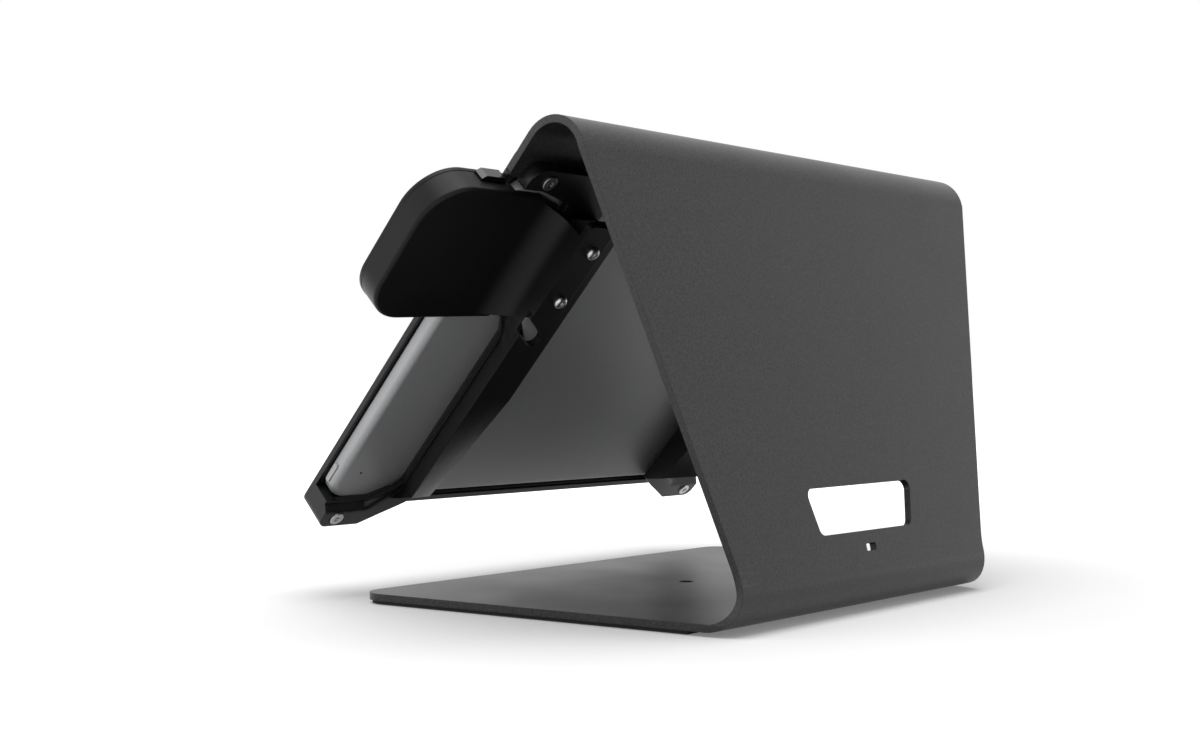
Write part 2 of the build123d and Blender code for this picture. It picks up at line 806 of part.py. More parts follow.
with BuildPart() as reader_front:
    with BuildSketch(mid.offset(plate_front_n)) as cover_plan:
        with BuildLine():
            Polyline(
                (reader_in_x, -reader_top_up),
                (reader_out_x, -reader_top_up),
                (reader_out_x, -reader_low_up),
                (reader_in_x, -reader_low_up - reader_root_low / 2),
                close=True,
            )
        make_face()
        outer_corners = cover_plan.vertices().group_by(Axis.X)[-1].sort_by(Axis.Y)
        fillet(outer_corners[0], radius=reader_top_r)
        outer_corners = cover_plan.vertices().sort_by_distance((reader_out_x, -reader_low_up))
        fillet(outer_corners[0], radius=reader_low_r)
        with Locations((
            reader_in_x + reader_wall + reader_body_gap + reader_body_w / 2,
            jack_down + reader_body_h / 4,
        )):
            RectangleRounded(reader_window_w, reader_window_h, reader_window_r, mode=Mode.SUBTRACT)
    extrude(amount=reader_cover_t)
    cover_rim = reader_front.faces().filter_by(back_axis).sort_by(back_axis)[0].outer_wire().edges()
    fillet(cover_rim, radius=plate_edge_r)

with BuildPart() as card_reader:
    body_x = reader_in_x + reader_wall + reader_body_gap
    body_top = reader_wall + reader_body_gap - reader_top_up
    with BuildSketch(mid.offset(cover_back_n)) as body_plan:
        with Locations((body_x, body_top)):
            Rectangle(reader_body_w, reader_body_h, align=(Align.MIN, Align.MIN))
        fillet(body_plan.vertices().group_by(Axis.Y)[-1], radius=reader_body_r)
        fillet(body_plan.vertices().group_by(Axis.Y)[0].sort_by(Axis.X)[-1], radius=reader_top_r - reader_wall)
    extrude(amount=reader_body_t)
    with BuildSketch(mid.offset(cover_back_n)) as tab_plan:
        with BuildLine():
            Polyline(
                (body_x, body_top + reader_body_r),
                (body_x, reader_tab_chamfer - reader_tab_rise - reader_top_up),
                (body_x + reader_tab_chamfer, -reader_tab_rise - reader_top_up),
                (body_x + reader_tab_w - reader_tab_chamfer, -reader_tab_rise - reader_top_up),
                (body_x + reader_tab_w, reader_tab_chamfer - reader_tab_rise - reader_top_up),
                (body_x + reader_tab_w, body_top + reader_body_r),
                close=True,
            )
        make_face()
    extrude(amount=reader_tab_t)
    # Jack plug that runs into the tablet.
    with BuildSketch(side.offset(body_x)):
        with Locations((jack_down, plug_n)):
            Circle(plug_r)
    extrude(amount=tablet_half_l - plug_l - body_x)


def flange_screw(down):
    """Domed head on the flange, shank through the flange and the back of the arm."""
    with BuildPart() as screw:
        with BuildSketch(mid.offset(flange_top_n)):
            with Locations((flange_screw_x, down)):
                Circle(flange_head_r)
        extrude(amount=flange_head_h)
        fillet(screw.edges().group_by(back_axis)[-1], radius=flange_head_h * flange_dome_share)
        with BuildSketch(mid.offset(flange_top_n + flange_head_h)):
            with Locations((flange_screw_x, down)):
                RegularPolygon(hex_key_r, 6)
        extrude(amount=-hex_key_depth, mode=Mode.SUBTRACT)
        with BuildSketch(mid.offset(flange_top_n)):
            with Locations((flange_screw_x, down)):
                Circle(screw_r)
        extrude(amount=-(flange_t + arm_back_t + flange_screw_below))
    return screw


flange_screw_upper = flange_screw(-flange_screw_up)
flange_screw_lower = flange_screw(flange_screw_pitch - flange_screw_up)

volume_places = (volume_key_x, volume_key_x - volume_key_pitch)
with BuildPart() as tablet_shell:
    with BuildSketch(mid.offset(tablet_front_n)):
        RectangleRounded(tablet_l, tablet_w, tablet_corner_r)
    extrude(amount=tablet_back_n - tablet_front_n)
    back_rim = tablet_shell.faces().filter_by(back_axis).sort_by(back_axis)[-1].outer_wire().edges()
    fillet(back_rim, radius=tablet_back_edge_r)
    # Audio jack on one short side, charging port on the other.
    with BuildSketch(side.offset(tablet_half_l)):
        with Locations((jack_down, plug_n)):
            Circle(jack_r)
    extrude(amount=-jack_depth, mode=Mode.SUBTRACT)
    with BuildSketch(side.offset(-tablet_half_l)):
        with Locations((0, plug_n)):
            SlotOverall(port_w, port_h)
    extrude(amount=port_depth, mode=Mode.SUBTRACT)
    # Wells for the keys.
    with BuildSketch(side.offset(tablet_half_l)):
        with Locations((power_down, key_n)):
            SlotOverall(power_key_l + 2 * key_gap, key_h + 2 * key_gap)
    extrude(amount=-(key_sink + key_travel_room), mode=Mode.SUBTRACT)
    with BuildSketch(across(tablet_half_w)):
        for key_x in volume_places:
            with Locations((key_x, key_n)):
                SlotOverall(volume_key_l + 2 * key_gap, key_h + 2 * key_gap)
    extrude(amount=key_sink + key_travel_room, mode=Mode.SUBTRACT)
    with BuildSketch(mid.offset(tablet_front_n)):
        with Locations((-home_x, 0)):
            Circle(home_r + key_gap)
    extrude(amount=home_t + home_proud_gap + home_room - glass_t, mode=Mode.SUBTRACT)

with BuildPart() as tablet_glass:
    with BuildSketch(mid.offset(glass_front_n)):
        RectangleRounded(tablet_l - 2 * glass_inset, tablet_w - 2 * glass_inset, tablet_corner_r - glass_inset)
        with Locations((-home_x, 0)):
            Circle(home_r + key_gap, mode=Mode.SUBTRACT)
    extrude(amount=glass_t)

with BuildPart() as power_button:
    with BuildSketch(side.offset(tablet_half_l + key_proud)):
        with Locations((power_down, key_n)):
            SlotOverall(power_key_l, key_h)
    extrude(amount=-(key_proud + key_sink))

with BuildPart() as volume_up_button:
    with BuildSketch(across(tablet_half_w + key_proud)):
        with Locations((volume_places[0], key_n)):
            SlotOverall(volume_key_l, key_h)
    extrude(amount=key_proud + key_sink)

with BuildPart() as volume_down_button:
    with BuildSketch(across(tablet_half_w + key_proud)):
        with Locations((volume_places[1], key_n)):
            SlotOverall(volume_key_l, key_h)
    extrude(amount=key_proud + key_sink)

with BuildPart() as home_button:
    with BuildSketch(mid.offset(glass_front_n + home_proud_gap)):
        with Locations((-home_x, 0)):
            Circle(home_r)
    extrude(amount=home_t)

stand_sheet.part.label = "stand_sheet"
export_step(stand_sheet.part, "parts/stand_sheet.step")
base_pad.part.label = "base_pad"
export_step(base_pad.part, "parts/base_pad.step")
front_plate.part.label = "front_plate"
export_step(front_plate.part, "parts/front_plate.step")
lug_block_right.part.label = "lug_block_right"
export_step(lug_block_right.part, "parts/lug_block_right.step")
lug_block_left.part.label = "lug_block_left"
export_step(lug_block_left.part, "parts/lug_block_left.step")
front_boss_right.part.label = "front_boss_right"
export_step(front_boss_right.part, "parts/front_boss_right.step")
front_boss_left.part.label = "front_boss_left"
export_step(front_boss_left.part, "parts/front_boss_left.step")
ear_spacer_right.part.label = "ear_spacer_right"
export_step(ear_spacer_right.part, "parts/ear_spacer_right.step")
ear_spacer_left.part.label = "ear_spacer_left"
export_step(ear_spacer_left.part, "parts/ear_spacer_left.step")
rear_clamp_right.part.label = "rear_clamp_right"
export_step(rear_clamp_right.part, "parts/rear_clamp_right.step")
rear_clamp_left.part.label = "rear_clamp_left"
export_step(rear_clamp_left.part, "parts/rear_clamp_left.step")
clamp_pad_right.part.label = "clamp_pad_right"
export_step(clamp_pad_right.part, "parts/clamp_pad_right.step")
clamp_pad_left.part.label = "clamp_pad_left"
export_step(clamp_pad_left.part, "parts/clamp_pad_left.step")
screw_upper_right.part.label = "screw_upper_right"
export_step(screw_upper_right.part, "parts/screw_upper_right.step")
screw_upper_left.part.label = "screw_upper_left"
export_step(screw_upper_left.part, "parts/screw_upper_left.step")
screw_lower_right.part.label = "screw_lower_right"
export_step(screw_lower_right.part, "parts/screw_lower_right.step")
screw_lower_left.part.label = "screw_lower_left"
export_step(screw_lower_left.part, "parts/screw_lower_left.step")
reader_shell.part.label = "reader_shell"
export_step(reader_shell.part, "parts/reader_shell.step")
reader_front.part.label = "reader_front"
export_step(reader_front.part, "parts/reader_front.step")
card_reader.part.label = "card_reader"
export_step(card_reader.part, "parts/card_reader.step")
flange_screw_upper.part.label = "flange_screw_upper"
export_step(flange_screw_upper.part, "parts/flange_screw_upper.step")
flange_screw_lower.part.label = "flange_screw_lower"
export_step(flange_screw_lower.part, "parts/flange_screw_lower.step")
tablet_shell.part.label = "tablet_shell"
export_step(tablet_shell.part, "parts/tablet_shell.step")
tablet_glass.part.label = "tablet_glass"
export_step(tablet_glass.part, "parts/tablet_glass.step")
power_button.part.label = "power_button"
export_step(power_button.part, "parts/power_button.step")
volume_up_button.part.label = "volume_up_button"
export_step(volume_up_button.part, "parts/volume_up_button.step")
volume_down_button.part.label = "volume_down_button"
export_step(volume_down_button.part, "parts/volume_down_button.step")
home_button.part.label = "home_button"
export_step(home_button.part, "parts/home_button.step")
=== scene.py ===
from math import atan2, cos, pi, radians, sin, tau

import bmesh
import bpy
from bpy.props import (
    FloatProperty,
    FloatVectorProperty,
    IntProperty,
    PointerProperty,
)
from mathutils import Matrix, Vector


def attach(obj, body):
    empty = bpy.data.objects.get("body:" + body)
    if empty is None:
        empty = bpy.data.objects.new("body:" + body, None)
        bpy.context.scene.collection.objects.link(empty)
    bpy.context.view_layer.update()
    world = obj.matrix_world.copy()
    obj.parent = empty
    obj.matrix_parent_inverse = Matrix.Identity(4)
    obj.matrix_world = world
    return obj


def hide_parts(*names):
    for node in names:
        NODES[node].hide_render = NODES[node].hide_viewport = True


bl_info = {
    "name": "Tablet Security Stand",
    "version": (1, 0, 0),
    "blender": (4, 5, 0),
    "location": "3D View > Sidebar > Stand",
    "description": "Finishes and trim of a bent counter stand that locks a tablet in its frame",
    "category": "Object",
}

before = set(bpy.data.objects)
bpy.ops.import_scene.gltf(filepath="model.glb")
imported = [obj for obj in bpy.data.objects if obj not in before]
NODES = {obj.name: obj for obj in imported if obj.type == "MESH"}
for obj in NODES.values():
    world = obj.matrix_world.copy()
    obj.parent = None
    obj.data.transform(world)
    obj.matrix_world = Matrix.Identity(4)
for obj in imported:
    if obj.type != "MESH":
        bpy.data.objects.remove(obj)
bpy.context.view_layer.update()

# One millimetre in metres. Lengths are in millimetres, apart from those of the studio and what
# is multiplied by MM.
MM = 0.001

# Vertices nearer to each other than this, in metres, are one.
WELD = 1e-7

# Edges that turn by more than this are drawn sharp.
SHARP_ANGLE = radians(32)

# Frame of the leaning tablet: X across, Y down the slope, Z to the back, zero in the tablet's
# middle on the level of the flap's front face. TILTED takes millimetres in it to the world.
SLOPE = radians(43.64)
TABLET_MIDDLE = Vector((0.0, -44.0643, 107.4784)) * MM
DOWN = Vector((0.0, -sin(SLOPE), -cos(SLOPE)))
BACK = Vector((0.0, cos(SLOPE), -sin(SLOPE)))
TILTED = (
    Matrix.Translation(TABLET_MIDDLE)
    @ Matrix((Vector((1.0, 0.0, 0.0)), DOWN, BACK)).transposed().to_4x4()
    @ Matrix.Scale(MM, 4)
)

# Levels along that frame's Z, from the reader's front to the floor of the screws' recess.
READER_FRONT = -5.1
GLASS_FRONT = -4.3
HOME_FRONT = -4.2
SHELL_BACK = 3.2
DRIVE_FLOOR = 8.6

# The same frame turned so that Z points out of the tablet's front, or out of its port side.
OUT_OF_FRONT = TILTED @ Matrix(((1, 0, 0, 0), (0, 1, 0, 0), (0, 0, -1, 0), (0, 0, 0, 1)))
PORT_SIDE_X, PORT_SIDE_LEVEL = -125.3, -0.55
OUT_OF_PORT_SIDE = TILTED @ Matrix(
    ((0, 0, -1, PORT_SIDE_X), (1, 0, 0, 0), (0, 1, 0, PORT_SIDE_LEVEL), (0, 0, 0, 1))
)

# Where the trim sits, across and down the slope.
SCREW_ACROSS, SCREW_DOWN = 119.0, 93.0
READER_WINDOW = (143.8, -64.5)
CAMERA_PLACE = (114.4, 0.0)
HOME_KEY_PLACE = (-114.4, 0.0)
MICROPHONE_PLACE = (114.5, 71.0)
SEAL_MIDDLE = (-11.5, 88.05)

# Outlines of the trim: length, width and corner radius.
TABLET_OUTLINE = (250.6, 174.1, 10.0)
WINDOW_OUTLINE = (207.0, 155.5, 1.0)
SEAL_OUTLINE = (169.6, 1.7, 0.4)
PORT_OUTLINE = (9.0, 2.8, 1.4)
TONGUE_OUTLINE = (6.6, 0.8, 0.4)

# Radii of round trim, the distance from the port to the first sound hole, and the level of each
# row of holes.
DRIVE_RADIUS = 1.5
HOME_RING_RADIUS = 6.1
MICROPHONE_RADIUS = 0.65
FIRST_SOUND_HOLE = 21.0
SOUND_ROWS = (-1.6, 0.0)

# The block under a clamp's ear: its edges down the slope and across, and its rounded corner.
EAR_TOP, EAR_LOW = -98.4, -88.9
EAR_INNER, EAR_OUTER = 101.0, 129.4
EAR_CORNER, EAR_STEPS = 7.4, 12

# The arm's side face, and the slanted slot in it with the side of its liner.
ARM_FACE = 99.62
SLOT_LENGTH, SLOT_WIDTH = 22.9, 6.6
SLOT_MIDDLE = (96.3, -29.8)
SLOT_SLANT = radians(-34.0)
LINER_SIDE = ARM_FACE - 0.8

# Side view of the sheet, along the object's depth and height, for the free edges round its
# lower bend. Vertices less than SHEET_CORE from the middle belong to its openings.
BEND_CENTRE = (82.25, 14.9)
BEND_MEAN_R = 11.9
BEND_TURN = radians(102.76)
PANEL_FOOT = (92.39, 17.2)
PANEL_LENGTH = 164.4
WAIST_BLEND, WAIST_CUTS = 9.0, 36
BASE_HALF, WAIST_HALF, CREST_HALF = 94.67, 87.9, 134.7
SHEET_CORE = 80.0

# The pad's rear edge: where its vertices start, how far they move to the front, and how far out
# they go to stay on the pad's slanted sides.
PAD_REAR, PAD_TRIM, PAD_SPREAD = 75.0, 7.0, 1.2

# The arm's outer wall leans in between these distances down the slope, fully so from WALL_FULL
# to WALL_TO, by WALL_LEAN for each millimetre below the ridge. The cuts let it bend.
WALL_FROM, WALL_FULL, WALL_TO, WALL_END = -32.0, -14.0, 74.0, 92.0
WALL_CUTS = (
    [WALL_FROM + step * 6.0 for step in range(4)] + [65.0 + step * 1.5 for step in range(20)]
)
WALL_LEAN = 0.585
RIDGE_LEVEL = 22.0

# Distances from the tablet's middle plane. The wall lies past HOLLOW_REACH and moves in full.
# The arm's solid lower end, past SOLID_FROM down the slope and below SOLID_LEVEL, moves from
# SOLID_REACH on, and the margin past MARGIN_REACH moves less and less.
HOLLOW_REACH, SOLID_REACH = 96.5, 84.0
SOLID_LEVEL, SOLID_FROM = 9.0, 65.0
MARGIN_REACH, MARGIN_FADE, MARGIN_PULL = 102.2, 9.8, 0.7

# The clamp's foot: its upper edge, and how far above and below it the form moves. The cuts let
# it bend. The edge drops by FOOT_DROP at the tablet's back and by more further from it, less so
# within FOOT_FADE of the arm, and what stands above FOOT_LEVEL sinks.
FOOT_TOP, FOOT_ABOVE, FOOT_SPAN = 79.5, 10.0, 9.5
FOOT_CUTS = (103.2, 104.2, 105.2, 106.2, 107.4)
FOOT_FADE, FOOT_LEVEL = 5.3, 5.8
FOOT_DROP, FOOT_DROP_LEAN, FOOT_SINK = 5.8, 0.52, 0.93

# The studio, in metres: the floor, the glow that whitens it away from the stand, and the paper's
# own tone where it is seen.
FLOOR_REACH, FLOOR_LEVEL = 40.0, -0.2 * MM
GLOW_FROM, GLOW_TO, LEAST_GLOW = 0.1, 0.7, 0.17
SEEN_PAPER = 0.86
SENSOR_WIDTH = 36.0


def hex_linear(code):
    """Linear colour with alpha from an sRGB hex code such as "#3a3a3c"."""
    channels = [int(code[i : i + 2], 16) / 255 for i in (1, 3, 5)]
    linear = (c / 12.92 if c <= 0.04045 else ((c + 0.055) / 1.055) ** 2.4 for c in channels)
    return (*linear, 1.0)


def shade(colour, share):
    """The same colour at another lightness."""
    return tuple(min(1.0, c * share) for c in colour[:3]) + (1.0,)


def colour_setting(name, code, description):
    """A colour that a user can change."""
    return FloatVectorProperty(
        name=name,
        description=description,
        subtype="COLOR",
        size=4,
        min=0.0,
        max=1.0,
        default=hex_linear(code),
    )


def length_setting(name, millimetres, description):
    """A length that a user can change."""
    return FloatProperty(
        name=name, description=description, unit="LENGTH", precision=5, default=millimetres * MM
    )


class StandFinishes(bpy.types.PropertyGroup):
    sheet: colour_setting("Sheet", "#2d2d2f", "Powder coat of the bent sheet")
    plate: colour_setting("Frame", "#161617", "Satin coat of the plate, blocks and clamps")
    pod: colour_setting("Reader housing", "#121213", "Moulded housing of the card reader")
    rubber: colour_setting("Pads", "#19191a", "Rubber under the base and behind the clamps")
    shell: colour_setting("Tablet shell", "#c6c7c9", "Blasted and anodised shell of the tablet")
    steel: colour_setting("Bright screws", "#c3c4c6", "Stainless steel of the lower screws")
    # The upper screws' darker steel is painted shade of the nook under the top bend.
    shaded_upper_steel: colour_setting("Upper screws in painted shade", "#8a8b8e", "Steel of the upper screws, darker as painted shade")
    sheet_grain: length_setting("Coat grain", 0.9, "Width of one grain in the powder coat")
    plate_grain: length_setting("Frame grain", 0.5, "Width of one grain in the satin coat")
    edge_round: length_setting("Edge round", 0.45, "Radius of the coat over a cut edge")


class TabletTrim(bpy.types.PropertyGroup):
    display_length: length_setting("Display length", 203.4, "Lit area across")
    display_width: length_setting("Display width", 151.9, "Lit area down the slope")
    gasket_width: length_setting("Gasket width", 0.8, "Soft strip round the plate's window")
    lens_radius: length_setting("Lens radius", 1.25, "Front camera lens")
    hole_radius: length_setting("Sound hole radius", 0.45, "One hole of the loudspeakers")
    hole_pitch: length_setting("Sound hole pitch", 1.7, "Distance between two holes in a row")
    holes: IntProperty(
        name="Holes in a row", description="Holes in one row of a speaker", default=13
    )


class ScrewTrim(bpy.types.PropertyGroup):
    socket_radius: length_setting("Socket radius", 1.02, "Mean radius of the lobed drive")
    lobe_depth: length_setting("Lobe depth", 0.17, "Depth of each lobe of the drive")
    lobes: IntProperty(name="Lobes", description="Lobes of the drive", default=6)


class ReaderTrim(bpy.types.PropertyGroup):
    slot_length: length_setting("Slot length", 15.0, "Raised lip round the card slot")
    light_radius: length_setting("Light radius", 0.7, "One signal light")
    light_pitch: length_setting("Light pitch", 3.4, "Distance between two signal lights")
    lights: IntProperty(name="Lights", description="Signal lights in the row", default=4)


class StudioSettings(bpy.types.PropertyGroup):
    floor: colour_setting("Floor", "#9c9c9c", "Pale floor, as it lights the stand")
    sky_strength: FloatProperty(
        name="Sky", description="Strength of the even light", default=0.33
    )
    top_power: FloatProperty(
        name="Top lamp", description="Power of the top softbox", unit="POWER", default=17.5
    )
    side_power: FloatProperty(
        name="Side lamp", description="Power of the side softbox", unit="POWER", default=4.0
    )
    camera_place: FloatVectorProperty(
        name="Camera", description="Place of the camera", subtype="XYZ", unit="LENGTH",
        default=(0.54977, 0.44232, 0.09570),
    )
    camera_turn: FloatProperty(
        name="Camera turn", description="Heading of the camera", unit="ROTATION",
        default=radians(132.16),
    )
    camera_lens: FloatProperty(
        name="Lens", description="Focal length", unit="CAMERA", default=47.38
    )


def empty_tree(owner):
    """Node tree of a material or world, without the nodes that it starts with."""
    owner.use_nodes = True
    owner.node_tree.nodes.clear()
    return owner.node_tree


def add(tree, kind, values=None, links=None, **settings):
    """One shader node with its settings, socket values and links."""
    node = tree.nodes.new("ShaderNode" + kind)
    for name, value in settings.items():
        setattr(node, name, value)
    for socket, value in (values or {}).items():
        node.inputs[socket].default_value = value
    for socket, source in (links or {}).items():
        tree.links.new(source, node.inputs[socket])
    return node


def start_finish(name, **constants):
    """New material with a Principled shader whose plain values are set on its sockets."""
    material = bpy.data.materials.new(name)
    tree = empty_tree(material)
    values = {key.replace("_", " "): value for key, value in constants.items()}
    shader = add(tree, "BsdfPrincipled", values)
    add(tree, "OutputMaterial", links={"Surface": shader.outputs["BSDF"]})
    return material, tree, shader


def grain_over(tree, shader, size, low, high, bump, rough, round_edge=0.0):
    """Fine grain of a real size, which mottles the colour from low to high.

    Bump is the strength and the height in millimetres of its relief, and rough the least and
    the most roughness. A coat that rounds the edges under it does so by the last radius.
    """
    place = add(tree, "TexCoord").outputs["Object"]
    grain = add(
        tree, "TexNoise", {"Scale": 1.0 / size, "Detail": 2.5, "Roughness": 0.6},
        {"Vector": place},
    )
    # Clouds near 55 mm wide vary the gloss.
    cloud = add(
        tree, "TexNoise", {"Scale": 18.0, "Detail": 2.0, "Roughness": 0.5}, {"Vector": place}
    )
    # Most of the noise lies between these positions, so that both colours show.
    mottle = add(tree, "ValToRGB", links={"Fac": grain.outputs["Fac"]})
    dark, light = mottle.color_ramp.elements
    dark.position, dark.color = 0.34, low
    light.position, light.color = 0.68, high
    gloss = add(
        tree, "MapRange",
        {"From Min": 0.3, "From Max": 0.7, "To Min": rough[0], "To Max": rough[1]},
        {"Value": cloud.outputs["Fac"]},
    )
    relief = add(
        tree, "Bump", {"Strength": bump[0], "Distance": bump[1] * MM},
        {"Height": grain.outputs["Fac"]},
    )
    if round_edge:
        soft_edge = add(tree, "Bevel", {"Radius": round_edge}, samples=4)
        tree.links.new(soft_edge.outputs["Normal"], relief.inputs["Normal"])
    tree.links.new(mottle.outputs["Color"], shader.inputs["Base Color"])
    tree.links.new(gloss.outputs["Result"], shader.inputs["Roughness"])
    tree.links.new(relief.outputs["Normal"], shader.inputs["Normal"])


def powder_coated_steel(look):
    """Polyester powder baked on steel: charcoal, matt, with a fine orange peel that sparkles."""
    material, tree, shader = start_finish(
        "powder_coated_steel", IOR=1.5, Specular_IOR_Level=0.38
    )
    grain_over(
        tree, shader, look.sheet_grain, shade(look.sheet, 0.5), shade(look.sheet, 1.75),
        (0.6, 0.1), (0.335, 0.395), look.edge_round,
    )
    return material


def satin_coated_aluminium(look):
    """Cut aluminium under a thin satin coat: near black, with a narrow line of light on edges."""
    material, tree, shader = start_finish(
        "satin_coated_aluminium", IOR=1.5, Specular_IOR_Level=0.3
    )
    grain_over(
        tree, shader, look.plate_grain, shade(look.plate, 0.85), shade(look.plate, 1.25),
        (0.3, 0.04), (0.3, 0.4), look.edge_round,
    )
    return material


def moulded_abs(look):
    """Injection-moulded ABS from a spark-eroded tool: black, with a very fine even texture."""
    material, tree, shader = start_finish("moulded_abs", IOR=1.53, Specular_IOR_Level=0.16)
    grain_over(
        tree, shader, look.plate_grain, shade(look.pod, 0.9), shade(look.pod, 1.15),
        (0.25, 0.03), (0.38, 0.5), look.edge_round,
    )
    return material


def pressed_rubber(look):
    """Die-cut neoprene sheet: dull black, with a shallow weave left by the press cloth."""
    material, tree, shader = start_finish("pressed_rubber", IOR=1.52, Roughness=0.82)
    place = add(tree, "TexCoord").outputs["Object"]
    # The cloth's threads are near 1.2 mm apart. A wave texture of this scale draws them 7.5 mm
    # apart, coarse enough to show.
    waves = [
        add(
            tree, "TexWave", {"Scale": 1.0 / (1.2 * MM) / 20, "Distortion": 0.6, "Detail": 1.0},
            {"Vector": place}, bands_direction=axis,
        )
        for axis in ("X", "Y")
    ]
    weave = add(
        tree, "Math", links={0: waves[0].outputs["Fac"], 1: waves[1].outputs["Fac"]},
        operation="MULTIPLY",
    )
    # Dust lies in patches near 17 mm wide.
    dust = add(tree, "TexNoise", {"Scale": 60.0, "Detail": 4.0}, {"Vector": place})
    tone = add(
        tree, "Mix", {"A": shade(look.rubber, 0.85), "B": shade(look.rubber, 1.5)},
        {"Factor": dust.outputs["Fac"]}, data_type="RGBA",
    )
    relief = add(
        tree, "Bump", {"Strength": 0.4, "Distance": 0.1 * MM}, {"Height": weave.outputs["Value"]}
    )
    tree.links.new(tone.outputs["Result"], shader.inputs["Base Color"])
    tree.links.new(relief.outputs["Normal"], shader.inputs["Normal"])
    return material


def blasted_anodised_aluminium(look):
    """Aluminium blasted with beads and anodised: soft grey metal with broad, quiet highlights."""
    material, tree, shader = start_finish("blasted_anodised_aluminium", Metallic=0.2)
    # The bead marks are near 0.1 mm and are drawn at 0.3 mm so that they show.
    grain_over(
        tree, shader, 0.3 * MM, shade(look.shell, 0.9), shade(look.shell, 1.1), (0.12, 0.02),
        (0.42, 0.5),
    )
    return material


def polished_chamfer(look):
    """Edge cut bright with a diamond tool after anodising: a thin clear line of metal."""
    material, tree, shader = start_finish("polished_chamfer", Metallic=1.0)
    grain_over(
        tree, shader, 0.4 * MM, shade(look.steel, 0.8), shade(look.steel, 0.95), (0.03, 0.01),
        (0.14, 0.22),
    )
    return material


def turned_steel(name, colour, rough):
    """Machined screw head: metal with the faint marks of the lathe."""
    material, tree, shader = start_finish(name, Metallic=1.0)
    grain_over(
        tree, shader, 0.35 * MM, shade(colour, 0.82), shade(colour, 1.05), (0.15, 0.02), rough,
        0.15 * MM,
    )
    return material


def cover_glass():
    """Toughened glass with black ink printed behind it: deep black under a clean reflection."""
    material, tree, shader = start_finish("cover_glass", IOR=1.5)
    grain_over(
        tree, shader, 6.0 * MM, hex_linear("#070708"), hex_linear("#0a0a0b"), (0.01, 0.01),
        (0.06, 0.1),
    )
    return material


def sleeping_display():
    """Switched-off liquid crystal panel under glass: a little bluer and lighter than the ink."""
    material, tree, shader = start_finish("sleeping_display", IOR=1.5)
    grain_over(
        tree, shader, 9.0 * MM, hex_linear("#0c0e12"), hex_linear("#11141a"), (0.01, 0.01),
        (0.1, 0.14),
    )
    return material


def foam_gasket(look):
    """Closed-cell foam strip: black and dull, with open cells along its cut."""
    material, tree, shader = start_finish("foam_gasket", IOR=1.45)
    grain_over(
        tree, shader, 0.4 * MM, shade(look.rubber, 0.5), shade(look.rubber, 1.2), (0.6, 0.08),
        (0.85, 0.95),
    )
    return material


def gloss_polycarbonate(look):
    """Polycarbonate moulded in a polished tool: black, with a clear reflection."""
    material, tree, shader = start_finish("gloss_polycarbonate", IOR=1.58)
    grain_over(
        tree, shader, 2.5 * MM, shade(look.pod, 0.9), shade(look.pod, 1.3), (0.05, 0.02),
        (0.14, 0.2), 0.2 * MM,
    )
    return material


def light_window():
    """Milky diffuser over a signal light that is off: pale grey-green plastic."""
    material, tree, shader = start_finish("light_window", IOR=1.5)
    grain_over(
        tree, shader, 0.6 * MM, hex_linear("#6f7a72"), hex_linear("#86928a"), (0.05, 0.01),
        (0.25, 0.35),
    )
    return material


def plated_contact():
    """Gold flash over nickel on stamped contacts: warm metal, brighter where it is pressed."""
    material, tree, shader = start_finish("plated_contact", Metallic=1.0)
    grain_over(
        tree, shader, 0.5 * MM, hex_linear("#a98b45"), hex_linear("#cdb069"), (0.1, 0.02),
        (0.22, 0.34),
    )
    return material


def painted_hole_shade():
    """Woven screen drawn as a flat disc on a hole: almost black, painted shade of the hole, as
    little light comes back out.
    """
    material, tree, shader = start_finish("painted_hole_shade", IOR=1.45)
    grain_over(
        tree, shader, 0.15 * MM, hex_linear("#050505"), hex_linear("#0d0d0e"), (0.4, 0.03),
        (0.7, 0.9),
    )
    return material


def coat(names, material):
    """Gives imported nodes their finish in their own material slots."""
    for name in names:
        slots = NODES[name].material_slots
        for slot in slots:
            slot.material = material
        if not slots:
            NODES[name].data.materials.append(material)


def rounded_ring(length, width, corner, level, centre=(0.0, 0.0), steps=8):
    """Points of a rounded rectangle, or of a circle where the corner is half of both sides."""
    points = []
    for quarter, (sx, sy) in enumerate(((1, 1), (-1, 1), (-1, -1), (1, -1))):
        cx = centre[0] + sx * (length / 2 - corner)
        cy = centre[1] + sy * (width / 2 - corner)
        for step in range(steps + 1):
            angle = (quarter + step / steps) * pi / 2
            points.append(Vector((cx + corner * cos(angle), cy + corner * sin(angle), level)))
    return points


def lobed_ring(radius, depth, lobes, level, centre, count=72):
    """Points of a circle with lobes, as in a star-shaped drive."""
    points = []
    for i in range(count):
        angle = i * tau / count
        reach = radius + depth * cos(lobes * angle)
        x, y = centre[0] + reach * cos(angle), centre[1] + reach * sin(angle)
        points.append(Vector((x, y, level)))
    return points


def profile_rings(outline, profile, centre=(0.0, 0.0), steps=8):
    """Rings of one outline, each grown outwards and lifted as a pair of the profile says."""
    length, width, corner = outline
    return [
        rounded_ring(length + 2 * grow, width + 2 * grow, corner + grow, level, centre, steps)
        for grow, level in profile
    ]


def circle(radius):
    """Outline of a circle, for profile_rings."""
    return 2 * radius, 2 * radius, radius


